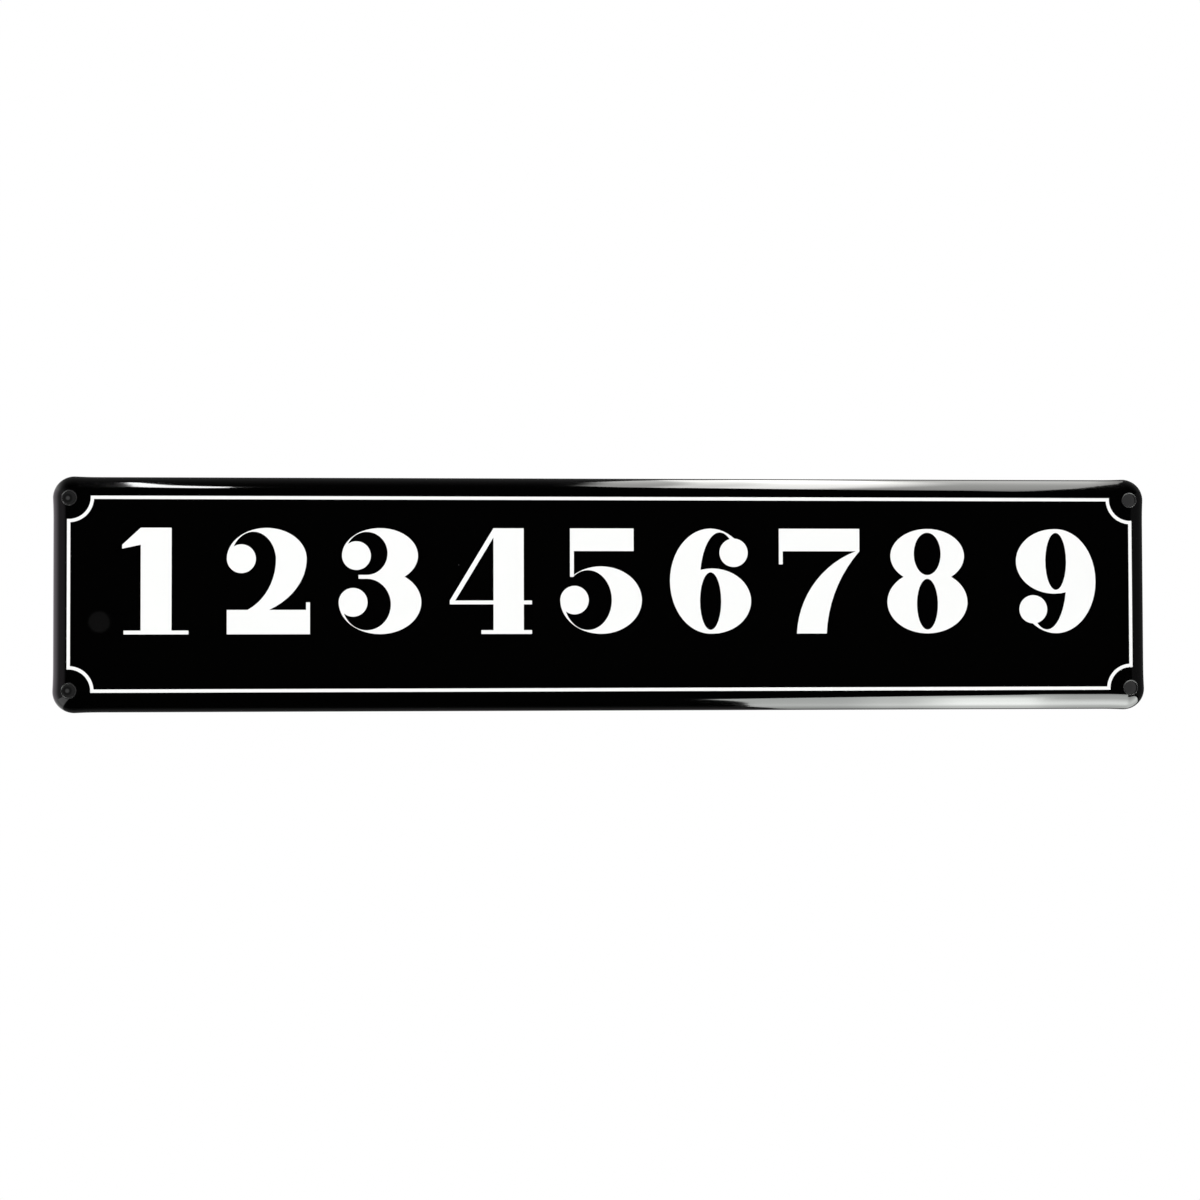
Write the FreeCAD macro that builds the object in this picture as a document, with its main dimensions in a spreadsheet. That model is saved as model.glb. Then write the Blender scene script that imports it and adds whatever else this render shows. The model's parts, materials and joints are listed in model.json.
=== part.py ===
import FreeCAD, Part
import math
import os

import Sketcher

# Street name sign: one pressed steel tray under glossy black vitreous enamel, with a white
# enamel frame line and white enamel numerals fired onto its face.
# Frame: X along the sign, +Z up, the face looks along -Y. The origin is the middle of the
# fixing holes at the level of the face, and the rim turns back towards the wall, along +Y.

# Name, value in millimetres, meaning. Each value can be changed by itself.
SIZES = [
    ("plate_length", 400.0, "length between the straight short edges"),
    ("plate_height", 85.0, "height between the straight long edges"),
    ("plate_depth", 7.5, "from the face to the back edge of the rim"),
    ("wall", 1.4, "steel with the enamel on both of its sides"),
    ("rim_radius", 6.0, "outside radius from the face into the rim"),
    ("corner_radius", 7.8, "corner radius seen from the front"),
    ("corner_swell", 0.22, "how far the pressing swells out at each corner"),
    ("swell_radius", 150.0, "hollow sweep that leads from an edge out to the corner"),
    ("back_edge_bevel", 0.35, "bevel on both sides of the rim's back edge"),
    ("hole_radius", 2.4, "fixing hole inside its enamel"),
    ("hole_inset_x", 6.15, "hole centre from the short edge"),
    ("hole_inset_z", 7.85, "hole centre from the long edge"),
    ("lip_bevel", 0.45, "enamel lip round the front of a hole"),
    ("enamel_relief", 0.15, "how far the white enamel stands proud"),
    ("line_width", 1.2, "width of the white frame line"),
    ("line_inset_x", 6.1, "middle of the line from the short edge"),
    ("line_inset_z", 7.7, "middle of the line from the long edge"),
    ("line_corner_radius", 8.4, "middle of the line's hollow corner"),
    ("numeral_height", 38.4, "height of a numeral"),
    ("thick_stroke", 11.0, "fat upright strokes"),
    ("thin_stroke", 1.4, "hairlines"),
    ("ball_radius", 5.2, "ball at the end of a hairline"),
    ("row_inset", 22.3, "first numeral from the left short edge"),
    ("last_inset", 19.2, "last numeral from the right short edge"),
    ("numeral_gap", 10.3, "between two numerals of the row"),
    ("last_gap", 18.2, "before the numeral that stands apart"),
    ("baseline", -14.5, "foot of the numerals"),
]
ROW_DIGITS = "12345678"
LAST_DIGIT = "9"
WIDTH_NAMES = ("plate_length", "row_inset", "last_inset", "numeral_gap", "last_gap")
SHEET = "Sizes"
TOLERANCE = 0.001


def make_sheet(doc):
    """Keeps the driving sizes as aliased cells and returns them by name."""
    sheet = doc.addObject("Spreadsheet::Sheet", SHEET)
    for row, (name, value, meaning) in enumerate(SIZES, start=1):
        sheet.set(f"A{row}", name)
        sheet.set(f"B{row}", str(value))
        sheet.set(f"C{row}", meaning)
        sheet.setAlias(f"B{row}", name)
    doc.recompute()
    size = {name: float(sheet.get(name)) for name, _, _ in SIZES}
    size["numeral_width"] = numeral_width(*(size[name] for name in WIDTH_NAMES))
    return size


def numeral_width(length, row_inset, last_inset, gap, last_gap):
    """The widest numeral's width: what the margins and gaps leave of the plate's length."""
    gaps = gap * (len(ROW_DIGITS) - 1)
    return (length - row_inset - last_inset - gaps - last_gap) / (len(ROW_DIGITS) + 1)


def cell(name):
    """The text by which an expression reads one size."""
    return f"{SHEET}.{name}"


def front_plane(body):
    """The body's own XZ plane, which is the level of the face."""
    for feature in body.Origin.OriginFeatures:
        if feature.Role == "XZ_Plane":
            return feature
    raise RuntimeError("the body has no XZ plane")


def add_body(doc, label):
    body = doc.addObject("PartDesign::Body", label)
    body.Label = label
    return body


def add_sketch(body, name, ahead="0"):
    """A sketch parallel to the face. ahead is an expression for its distance in front of it."""
    sketch = body.newObject("Sketcher::SketchObject", name)
    sketch.AttachmentSupport = [(front_plane(body), "")]
    sketch.MapMode = "FlatFace"
    sketch.setExpression("AttachmentOffset.Base.z", ahead)
    return sketch


def constrain(sketch, name, parts, value, expression):
    """Adds one named dimension and ties it to the sheet."""
    index = sketch.addConstraint(Sketcher.Constraint(*parts, value))
    sketch.renameConstraint(index, name)
    sketch.setExpression(f"Constraints.{name}", expression)


def place_point(sketch, name, geometry, vertex, point, expressions):
    """Ties a point to its distances from both axes. Distances stay positive on each side."""
    for kind, axis, coordinate, expression in zip(("DistanceX", "DistanceY"), "xz", point, expressions):
        ends = (-1, 1, geometry, vertex) if coordinate > 0 else (geometry, vertex, -1, 1)
        constrain(sketch, f"{name}_{axis}", (kind, *ends), abs(coordinate), expression)


def arc(centre, radius, start, end):
    """An anticlockwise arc between two angles."""
    circle = Part.Circle(FreeCAD.Vector(*centre, 0), FreeCAD.Vector(0, 0, 1), radius)
    return Part.ArcOfCircle(circle, start, end)


def line(start, end):
    return Part.LineSegment(FreeCAD.Vector(*start, 0), FreeCAD.Vector(*end, 0))


def turned(vector):
    """A plane vector turned a quarter turn to the left."""
    return (-vector[1], vector[0])


def along(point, *steps):
    """The point moved by each (vector, distance) step."""
    x, z = point
    for vector, distance in steps:
        x += vector[0] * distance
        z += vector[1] * distance
    return (x, z)


def four_corners(centre_x, centre_z):
    """Each corner's centre with the way the outline runs into it and out of it, anticlockwise."""
    heading = (0, 1)
    for sign_x, sign_z in [(1, 1), (-1, 1), (-1, -1), (1, -1)]:
        yield (sign_x * centre_x, sign_z * centre_z), heading, turned(heading)
        heading = turned(heading)


def add_edge(sketch, name, index, start, end, reach, reach_text):
    """One straight edge of a loop. Even edges are upright, and the first two lie ahead of the
    origin."""
    edge = sketch.addGeometry(line(start, end), False)
    upright = index % 2 == 0
    sketch.addConstraint(Sketcher.Constraint("Vertical" if upright else "Horizontal", edge))
    kind = "DistanceX" if upright else "DistanceY"
    ends = (-1, 1, edge, 1) if index < 2 else (edge, 1, -1, 1)
    constrain(sketch, name, (kind, *ends), reach, reach_text)
    return edge


def join_loop(sketch, kind, order):
    """Joins each piece to the one before it. order holds (geometry, entry end, exit end)."""
    for index, (geometry, entry, _) in enumerate(order):
        before, _, way_out = order[index - 1]
        sketch.addConstraint(Sketcher.Constraint(kind, before, way_out, geometry, entry))


def swollen_corner(centre, heading, leaving, corner, sweep, swell):
    """The corner arc and the two hollow sweeps beside it, with the first and last points."""
    turn = math.acos(1 - swell / (corner + sweep))
    run = (corner + sweep) * math.sin(turn)
    outwards = (-leaving[0], -leaving[1])
    angle = math.atan2(outwards[1], outwards[0])
    half_pi = math.pi / 2
    first = along(centre, (outwards, corner - swell), (heading, -run))
    last = along(centre, (heading, corner - swell), (leaving, run))
    sweep_in = arc(along(first, (outwards, sweep)), sweep, angle + math.pi - turn, angle + math.pi)
    round_off = arc(centre, corner, angle - turn, angle + half_pi + turn)
    sweep_out = arc(along(last, (heading, sweep)), sweep, angle - half_pi, angle - half_pi + turn)
    return first, last, sweep_in, round_off, sweep_out


def draw_outline(sketch, size, margin, margin_text):
    """Draws the pressing's outline, moved outwards by margin: straight edges that swell out a
    little at each corner, all joined by tangent arcs."""
    swell = size["corner_swell"]
    corner = size["corner_radius"] + margin
    sweep = size["swell_radius"] - margin
    half = (size["plate_length"] / 2 + margin, size["plate_height"] / 2 + margin)
    half_text = [f"{cell(name)} / 2 + {margin_text}" for name in ("plate_length", "plate_height")]
    inset_text = f"{cell('corner_swell')} - {cell('corner_radius')} - {margin_text}"
    centre_text = [f"{text} + {inset_text}" for text in half_text]
    shapes = [
        (centre, *swollen_corner(centre, heading, leaving, corner, sweep, swell))
        for centre, heading, leaving in four_corners(half[0] + swell - corner, half[1] + swell - corner)
    ]
    order = []
    for index, (centre, first, _, sweep_in, round_off, sweep_out) in enumerate(shapes):
        side = index % 2
        start = shapes[index - 1][2]
        edge = add_edge(sketch, f"edge_{index}", index, start, first, half[side], half_text[side])
        entering = sketch.addGeometry(sweep_in, False)
        rounding = sketch.addGeometry(round_off, False)
        parting = sketch.addGeometry(sweep_out, False)
        for name, geometry in (("in", entering), ("out", parting)):
            text = f"{cell('swell_radius')} - {margin_text}"
            constrain(sketch, f"sweep_{name}_{index}", ("Radius", geometry), sweep, text)
        text = f"{cell('corner_radius')} + {margin_text}"
        constrain(sketch, f"corner_{index}", ("Radius", rounding), corner, text)
        place_point(sketch, f"centre_{index}", rounding, 3, centre, centre_text)
        order += [(edge, 1, 2), (entering, 2, 1), (rounding, 1, 2), (parting, 2, 1)]
    join_loop(sketch, "Tangent", order)


def names_at(items, word, level):
    """Names of the edges or faces that lie wholly at one distance behind the face."""
    names = []
    for number, item in enumerate(items, start=1):
        box_of = item.BoundBox
        if abs(box_of.YMin - level) < TOLERANCE and abs(box_of.YMax - level) < TOLERANCE:
            names.append(f"{word}{number}")
    return names


def edges_at(shape, level):
    return names_at(shape.Edges, "Edge", level)


def faces_at(shape, level):
    return names_at(shape.Faces, "Face", level)


def front_hole_edges(shape, size):
    """Names of the edges that run round the fixing holes on the face side of the wall."""
    names = []
    for centre_x, centre_z in hole_centres(size):
        rings = []
        for number, edge in enumerate(shape.Edges, start=1):
            points = edge.discretize(5)
            off = [abs(math.hypot(p.x - centre_x, p.z - centre_z) - size["hole_radius"]) for p in points]
            spread = max(abs(p.x - points[0].x) + abs(p.z - points[0].z) for p in points)
            if max(off) < TOLERANCE and spread > TOLERANCE:
                rings.append((sum(p.y for p in points) / len(points), f"Edge{number}"))
        middle = (min(rings)[0] + max(rings)[0]) / 2
        names += [name for depth, name in rings if depth < middle]
    return names


def hole_centres(size):
    x = size["plate_length"] / 2 - size["hole_inset_x"]
    z = size["plate_height"] / 2 - size["hole_inset_z"]
    return [(x, z), (-x, z), (-x, -z), (x, -z)]


def dress_edges(doc, body, name, kind, base, edges, size_text):
    """Adds a Fillet or a Chamfer on the named edges."""
    if not edges:
        raise RuntimeError(f"{name} found no edges")
    dressed = body.newObject(f"PartDesign::{kind}", name)
    dressed.Base = (base, edges)
    dressed.setExpression("Radius" if kind == "Fillet" else "Size", size_text)
    body.Tip = dressed
    doc.recompute()
    return dressed


def pad_outline(doc, body, size, margin, margin_text):
    """The solid block of the pressing, grown by margin, with its rim rounded."""
    sketch = add_sketch(body, "front_outline", margin_text)
    draw_outline(sketch, size, margin, margin_text)
    block = body.newObject("PartDesign::Pad", "block")
    block.Profile = sketch
    block.Reversed = True
    block.setExpression("Length", f"{cell('plate_depth')} + {margin_text}")
    body.Tip = block
    doc.recompute()
    radius_text = f"{cell('rim_radius')} + {margin_text}"
    return dress_edges(doc, body, "rim_round", "Fillet", block, edges_at(block.Shape, -margin), radius_text)


def make_plate(doc, size):
    """The pressed tray: a rounded block, shelled from behind, with four lipped holes."""
    body = add_body(doc, "enamel_plate")
    rim = pad_outline(doc, body, size, 0, "0")
    shell = body.newObject("PartDesign::Thickness", "shell")
    shell.Base = (rim, faces_at(rim.Shape, size["plate_depth"]))
    shell.Mode = "Skin"
    shell.Join = "Arc"
    shell.Reversed = True
    shell.setExpression("Value", cell("wall"))
    body.Tip = shell
    doc.recompute()
    back_edges = edges_at(shell.Shape, size["plate_depth"])
    back = dress_edges(doc, body, "back_edge", "Chamfer", shell, back_edges, cell("back_edge_bevel"))

    hole_sketch = add_sketch(body, "hole_circles")
    draw_holes(hole_sketch, size)
    holes = cut_pocket(doc, body, "fixing_holes", hole_sketch, back)
    lip_edges = front_hole_edges(holes.Shape, size)
    dress_edges(doc, body, "hole_lips", "Chamfer", holes, lip_edges, cell("lip_bevel"))
    return body


def cut_pocket(doc, body, name, sketch, base):
    """Cuts from the sketch towards the wall side and checks that it took something away."""
    pocket = body.newObject("PartDesign::Pocket", name)
    pocket.Profile = sketch
    pocket.setExpression("Length", cell("plate_depth"))
    body.Tip = pocket
    doc.recompute()
    if pocket.Shape.Volume > base.Shape.Volume - TOLERANCE:
        raise RuntimeError(f"{name} removed nothing")
    return pocket


def draw_holes(sketch, size):
    inset_text = (
        f"{cell('plate_length')} / 2 - {cell('hole_inset_x')}",
        f"{cell('plate_height')} / 2 - {cell('hole_inset_z')}",
    )
    for index, centre in enumerate(hole_centres(size)):
        circle = Part.Circle(FreeCAD.Vector(*centre, 0), FreeCAD.Vector(0, 0, 1), size["hole_radius"])
        geometry = sketch.addGeometry(circle, False)
        constrain(sketch, f"bore_{index}", ("Radius", geometry), size["hole_radius"], cell("hole_radius"))
        place_point(sketch, f"hole_{index}", geometry, 3, centre, inset_text)


def draw_line_loop(sketch, size, side, tag):
    """One edge of the frame line, half a line's width outside (1) or inside (-1) its middle.
    Each corner is a hollow quarter circle round the place of the fixing hole."""
    reach = side * size["line_width"] / 2
    reach_text = f"{side} * {cell('line_width')} / 2"
    centre_x = size["plate_length"] / 2 - size["line_inset_x"]
    centre_z = size["plate_height"] / 2 - size["line_inset_z"]
    centre_text = (
        f"{cell('plate_length')} / 2 - {cell('line_inset_x')}",
        f"{cell('plate_height')} / 2 - {cell('line_inset_z')}",
    )
    radius = size["line_corner_radius"] - reach
    radius_text = f"{cell('line_corner_radius')} - {reach_text}"
    step = math.sqrt(radius**2 - reach**2)
    tilt = math.asin(reach / radius)
    corners = []
    for centre, heading, leaving in four_corners(centre_x, centre_z):
        outwards = (-leaving[0], -leaving[1])
        angle = math.atan2(leaving[1], leaving[0])
        first = along(centre, (outwards, reach), (heading, -step))
        last = along(centre, (heading, reach), (leaving, step))
        corners.append((centre, first, last, arc(centre, radius, angle - tilt, angle + math.pi / 2 + tilt)))

    order = []
    for index, (centre, first, _, curve) in enumerate(corners):
        axis = index % 2
        distance = (centre_x, centre_z)[axis] + reach
        distance_text = f"{centre_text[axis]} + {reach_text}"
        start = corners[index - 1][2]
        edge = add_edge(sketch, f"{tag}_edge_{index}", index, start, first, distance, distance_text)
        hollow = sketch.addGeometry(curve, False)
        constrain(sketch, f"{tag}_radius_{index}", ("Radius", hollow), radius, radius_text)
        place_point(sketch, f"{tag}_centre_{index}", hollow, 3, centre, centre_text)
        order += [(edge, 1, 2), (hollow, 2, 1)]
    join_loop(sketch, "Coincident", order)


def make_frame_line(doc, size, plate):
    """The white frame line: the part of a slightly larger pressing that lies in the line's
    band, less the plate, so that it follows the start of the rim as fired enamel does."""
    band = add_body(doc, "line_band")
    sketch = add_sketch(band, "band_outline", f"2 * {cell('enamel_relief')}")
    draw_line_loop(sketch, size, 1, "outer")
    draw_line_loop(sketch, size, -1, "inner")
    pad = band.newObject("PartDesign::Pad", "band")
    pad.Profile = sketch
    pad.Reversed = True
    pad.setExpression("Length", f"2 * {cell('enamel_relief')} + {cell('wall')} / 2")
    band.Tip = pad

    skin = add_body(doc, "enamel_skin")
    pad_outline(doc, skin, size, size["enamel_relief"], cell("enamel_relief"))

    raised = doc.addObject("Part::Common", "raised_band")
    raised.Base = band
    raised.Tool = skin
    frame_line = doc.addObject("Part::Cut", "frame_line")
    frame_line.Label = "frame_line"
    frame_line.Base = raised
    frame_line.Tool = plate
    doc.recompute()
    return frame_line


def flat_face(edges):
    return Part.Face(Part.Wire(edges))


def point(x, z):
    return FreeCAD.Vector(x, 0, z)


def polygon(*corners):
    """A flat face with straight sides."""
    points = [point(*corner) for corner in corners]
    return Part.Face(Part.makePolygon(points + points[:1]))


def box(left, low, right, high):
    return polygon((left, low), (right, low), (right, high), (left, high))


def oval(left, low, right, high):
    """An upright ellipse that fills the given box."""
    across = (right - left) / 2
    up = (high - low) / 2
    centre = point((left + right) / 2, (low + high) / 2)
    if up > across:
        ellipse = Part.Ellipse(centre + point(0, up), centre + point(across, 0), centre)
    else:
        ellipse = Part.Ellipse(centre + point(across, 0), centre + point(0, up), centre)
    return flat_face([ellipse.toShape()])


def ball(x, z, radius):
    return oval(x - radius, z - radius, x + radius, z + radius)


def joined(first, *others):
    return first.fuse(list(others))


def slab(face, thickness):
    """Raises a flat shape towards the viewer as one piece of enamel."""
    raised = [part.extrude(FreeCAD.Vector(0, -thickness, 0)) for part in face.Faces]
    if len(raised) > 1:
        return raised[0].fuse(raised[1:]).removeSplitter()
    return raised[0]


def bowl_pair(size):
    """The two stacked ovals of the 3 and the 8, with the level at which they meet."""
    wide = size["numeral_width"]
    tall = size["numeral_height"]
    upper = oval(0.04 * wide, 0.48 * tall, 0.96 * wide, tall)
    lower = oval(0, 0, wide, 0.60 * tall)
    return upper, lower, 0.54 * tall


def numeral_1(size):
    wide, tall = size["numeral_width"], size["numeral_height"]
    thick, thin = size["thick_stroke"], size["thin_stroke"]
    left = (wide - thick) / 2
    stem = box(left, 0, left + thick, tall)
    foot = box(left - 0.55 * thick, 0, left + 1.55 * thick, thin)
    drop = 0.16 * tall
    flag = polygon(
        (left, tall),
        (left - 0.6 * thick, tall - drop),
        (left - 0.6 * thick, tall - drop - thin),
        (left, tall - drop),
    )
    return joined(stem, foot, flag)


def numeral_2(size):
    wide, tall = size["numeral_width"], size["numeral_height"]
    thick, thin, knob = size["thick_stroke"], size["thin_stroke"], size["ball_radius"]
    low = 0.42 * tall
    right = 0.96 * wide
    bowl = oval(0, low, right, tall)
    counter = oval(thin, low, right - thick, tall - thin)
    level = (low + tall) / 2
    bowl = bowl.cut(counter).cut(box(-wide, -tall, 2 * wide, level))
    neck = oval(-right, thick / 2, right, 2 * level - thick / 2)
    inside = oval(thick - right, thick / 2 + thin, right - thick, 2 * level - thick / 2 - thin)
    neck = neck.cut(inside).common(box(0, 0, right, level))
    base = box(0, 0, wide, 0.8 * thick)
    tick = box(wide - thin, 0, wide, 0.30 * tall)
    return joined(bowl, neck, base, tick, ball(knob, level, knob))


def numeral_3(size):
    wide, tall = size["numeral_width"], size["numeral_height"]
    thick, thin, knob = size["thick_stroke"], size["thin_stroke"], size["ball_radius"]
    upper, lower, waist = bowl_pair(size)
    top_counter = oval(0.04 * wide + thin, waist + thin / 2, 0.96 * wide - thick, tall - thin)
    low_counter = oval(thin, thin, wide - thick, waist - thin / 2)
    low_knob = 0.30 * tall
    top_knob = 0.74 * tall
    opening = box(-wide, low_knob, (wide - thick) / 2, top_knob)
    body = joined(upper, lower).cut([top_counter, low_counter, opening])
    bar = box(0.24 * wide, waist - thin / 2, 0.6 * wide, waist + thin / 2)
    top_ball = ball(0.04 * wide + knob, top_knob, knob)
    low_ball = ball(knob, low_knob, knob)
    return joined(body, bar, top_ball, low_ball)


def numeral_4(size):
    wide, tall = size["numeral_width"], size["numeral_height"]
    thick, thin = size["thick_stroke"], size["thin_stroke"]
    right = 0.90 * wide
    left = right - thick
    level = 0.28 * tall
    stem = box(left, 0, right, tall)
    foot = box(left - 0.4 * thick, 0, wide, thin)
    bar = box(0, level, wide, level + thin)
    slope = polygon((0, level + thin), (left, tall), (left, tall - 2.4 * thin), (1.4 * thin, level + thin))
    return joined(stem, foot, bar, slope)


def numeral_5(size):
    wide, tall = size["numeral_width"], size["numeral_height"]
    thick, thin, knob = size["thick_stroke"], size["thin_stroke"], size["ball_radius"]
    high = 0.64 * tall
    left = 0.12 * wide
    knob_level = high / 2
    bowl = oval(0, 0, wide, high).cut(oval(thin, thin, wide - thick, high - thin))
    opening = box(-wide, knob_level, (wide - thick) / 2, 0.54 * tall)
    beside = box(-wide, knob_level, left, tall)
    post = box(left, 0.54 * tall, left + thin, tall)
    flag = box(left, tall - 0.75 * thick, 0.9 * wide, tall)
    return joined(bowl.cut([opening, beside]), post, flag, ball(knob, knob_level, knob))


def numeral_6(size):
    wide, tall = size["numeral_width"], size["numeral_height"]
    thick, thin, knob = size["thick_stroke"], size["thin_stroke"], size["ball_radius"]
    high = 0.62 * tall
    knob_level = 0.77 * tall
    counter = oval(thick, thin, wide - thick, high - thin)
    whole = oval(0, 0, wide, tall)
    hook = whole.cut(oval(thick, thin, wide - 3 * thin, tall - thin))
    hook = hook.cut([box((wide + thick) / 2, 0, 2 * wide, knob_level), counter])
    bowl = oval(0.04 * wide, 0, wide, high).cut(counter)
    bowl = bowl.common(joined(whole, box(wide / 2, 0, wide, high)))
    return joined(hook, bowl, ball(0.96 * wide - knob, knob_level, knob))


def numeral_7(size):
    wide, tall = size["numeral_width"], size["numeral_height"]
    thick, thin = size["thick_stroke"], size["thin_stroke"]
    under = tall - 0.75 * thick
    flag = box(0, under, wide, tall)
    tick = box(0, 0.66 * tall, thin, tall)
    foot = 0.22 * wide
    outer = Part.Arc(point(wide, under), point(foot + 1.22 * thick, 0.34 * tall), point(foot + thick, 0))
    inner = Part.Arc(point(foot, 0), point(foot + 0.45 * thick, 0.42 * tall), point(wide - thin, under))
    leg = flat_face(
        [
            outer.toShape(),
            Part.LineSegment(point(foot + thick, 0), point(foot, 0)).toShape(),
            inner.toShape(),
            Part.LineSegment(point(wide - thin, under), point(wide, under)).toShape(),
        ]
    )
    return joined(flag, tick, leg)


def numeral_8(size):
    wide, tall = size["numeral_width"], size["numeral_height"]
    thick, thin = size["thick_stroke"], size["thin_stroke"]
    upper, lower, waist = bowl_pair(size)
    top_counter = oval(0.9 * thick, waist + thin / 2, wide - 0.9 * thick, tall - thin)
    low_counter = oval(thick, thin, wide - thick, waist - thin / 2)
    return joined(upper, lower).cut([top_counter, low_counter])


def numeral_9(size):
    """The 6 turned half a turn."""
    face = numeral_6(size)
    middle = point(size["numeral_width"] / 2, size["numeral_height"] / 2)
    face.rotate(middle, FreeCAD.Vector(0, 1, 0), 180)
    return face


NUMERALS = {
    "1": numeral_1,
    "2": numeral_2,
    "3": numeral_3,
    "4": numeral_4,
    "5": numeral_5,
    "6": numeral_6,
    "7": numeral_7,
    "8": numeral_8,
    "9": numeral_9,
}


def make_numeral(doc, size, digit, left_text):
    """One numeral as a thin slab of white enamel on the face."""
    feature = doc.addObject("Part::Feature", f"numeral_{digit}")
    feature.Shape = slab(NUMERALS[digit](size), size["enamel_relief"])
    feature.setExpression("Placement.Base.x", left_text)
    feature.setExpression("Placement.Base.z", cell("baseline"))
    return feature


def make_numerals(doc, size):
    """All the numerals as one node: they are printed and fired in one coat."""
    width, gap = size["numeral_width"], cell("numeral_gap")
    half_length = f"{cell('plate_length')} / 2"
    first = f"{cell('row_inset')} - {half_length}"
    starts = [f"{first} + {index} * ({width} + {gap})" for index in range(len(ROW_DIGITS))]
    starts.append(f"{half_length} - {cell('last_inset')} - {width}")
    numerals = doc.addObject("Part::Compound", "numerals")
    numerals.Label = "numerals"
    numerals.Links = [
        make_numeral(doc, size, digit, left_text)
        for digit, left_text in zip(ROW_DIGITS + LAST_DIGIT, starts)
    ]
    return numerals


def check_document(doc, nodes):
    """Stops before anything is written if an object failed or a shape is not sound."""
    for item in doc.Objects:
        if {"Invalid", "Error"} & set(item.State):
            raise RuntimeError(f"{item.Label} failed to build")
    for node in nodes:
        if node.Shape.isNull() or not node.Shape.isValid() or not node.Shape.Solids:
            raise RuntimeError(f"{node.Label} is not a sound solid")


def main():
    doc = FreeCAD.newDocument("street_name_sign")
    size = make_sheet(doc)
    plate = make_plate(doc, size)
    nodes = [plate, make_frame_line(doc, size, plate), make_numerals(doc, size)]
    doc.recompute()
    check_document(doc, nodes)
    os.makedirs("parts", exist_ok=True)
    for node in nodes:
        node.Shape.exportStep(f"parts/{node.Label}.step")
        box_of = node.Shape.BoundBox
        print(
            f"{node.Label}: {len(node.Shape.Solids)} solids, {node.Shape.Volume:.2f} mm3, "
            f"X {box_of.XMin:.2f} {box_of.XMax:.2f} Y {box_of.YMin:.2f} {box_of.YMax:.2f} "
            f"Z {box_of.ZMin:.2f} {box_of.ZMax:.2f}"
        )


main()
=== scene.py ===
# Street name sign in black enamel: its finish, a soft studio and the camera.
import json
import math

import bpy
from bpy.props import FloatProperty, FloatVectorProperty, PointerProperty
from bpy.types import Operator, Panel, PropertyGroup
from mathutils import Matrix, Vector


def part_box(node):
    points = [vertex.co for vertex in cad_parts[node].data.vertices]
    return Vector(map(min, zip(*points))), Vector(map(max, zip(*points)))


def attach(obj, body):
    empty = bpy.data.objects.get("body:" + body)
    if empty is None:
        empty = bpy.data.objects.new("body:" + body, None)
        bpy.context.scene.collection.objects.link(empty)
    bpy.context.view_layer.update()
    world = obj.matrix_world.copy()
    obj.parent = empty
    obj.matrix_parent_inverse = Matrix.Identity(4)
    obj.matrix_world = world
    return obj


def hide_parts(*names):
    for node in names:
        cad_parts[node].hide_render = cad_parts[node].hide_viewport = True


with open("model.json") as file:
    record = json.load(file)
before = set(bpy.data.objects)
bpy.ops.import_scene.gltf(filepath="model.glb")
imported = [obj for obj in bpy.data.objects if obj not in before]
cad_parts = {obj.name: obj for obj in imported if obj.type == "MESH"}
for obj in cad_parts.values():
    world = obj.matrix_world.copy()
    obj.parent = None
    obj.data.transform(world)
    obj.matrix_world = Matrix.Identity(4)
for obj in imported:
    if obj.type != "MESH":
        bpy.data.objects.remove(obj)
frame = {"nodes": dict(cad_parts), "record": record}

bl_info = {
    "name": "Enamel Street Name Sign",
    "version": (1, 0, 0),
    "blender": (4, 5, 0),
    "location": "View3D > Sidebar > Street Sign",
    "description": "Builds the finished street name sign, its enamels and its studio",
    "category": "Add Mesh",
}

MM = 0.001
BODY = "root"
PLATE_NODE = "enamel_plate"
LINE_NODE = "frame_line"
NUMERAL_NODE = "numerals"

PLATE_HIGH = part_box(PLATE_NODE)[1]
LINE_LOW, LINE_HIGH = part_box(LINE_NODE)
FIXING = next(m["dims"] for m in frame["record"]["mounts"] if m["name"] == "fixing_holes")
CORNER_SWELL = 0.22 * MM
LINE_WIDTH = 1.2 * MM
PRINT_PLACE = (-183 * MM, 0, -10 * MM)
MIRROR_MERGE = 0.001 * MM
POINT_MERGE = 0.0005 * MM


def length(name, description, default):
    return FloatProperty(name=name, description=description, default=default, subtype="DISTANCE", precision=5)


def turn(name, description, degrees):
    return FloatProperty(name=name, description=description, default=math.radians(degrees), subtype="ANGLE")


def tint(name, description, red, green, blue):
    return FloatVectorProperty(
        name=name, description=description, default=(red, green, blue), size=3, min=0.0, max=1.0,
        subtype="COLOR",
    )


def amount(name, description, default):
    return FloatProperty(name=name, description=description, default=default, min=0.0, precision=4)


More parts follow.
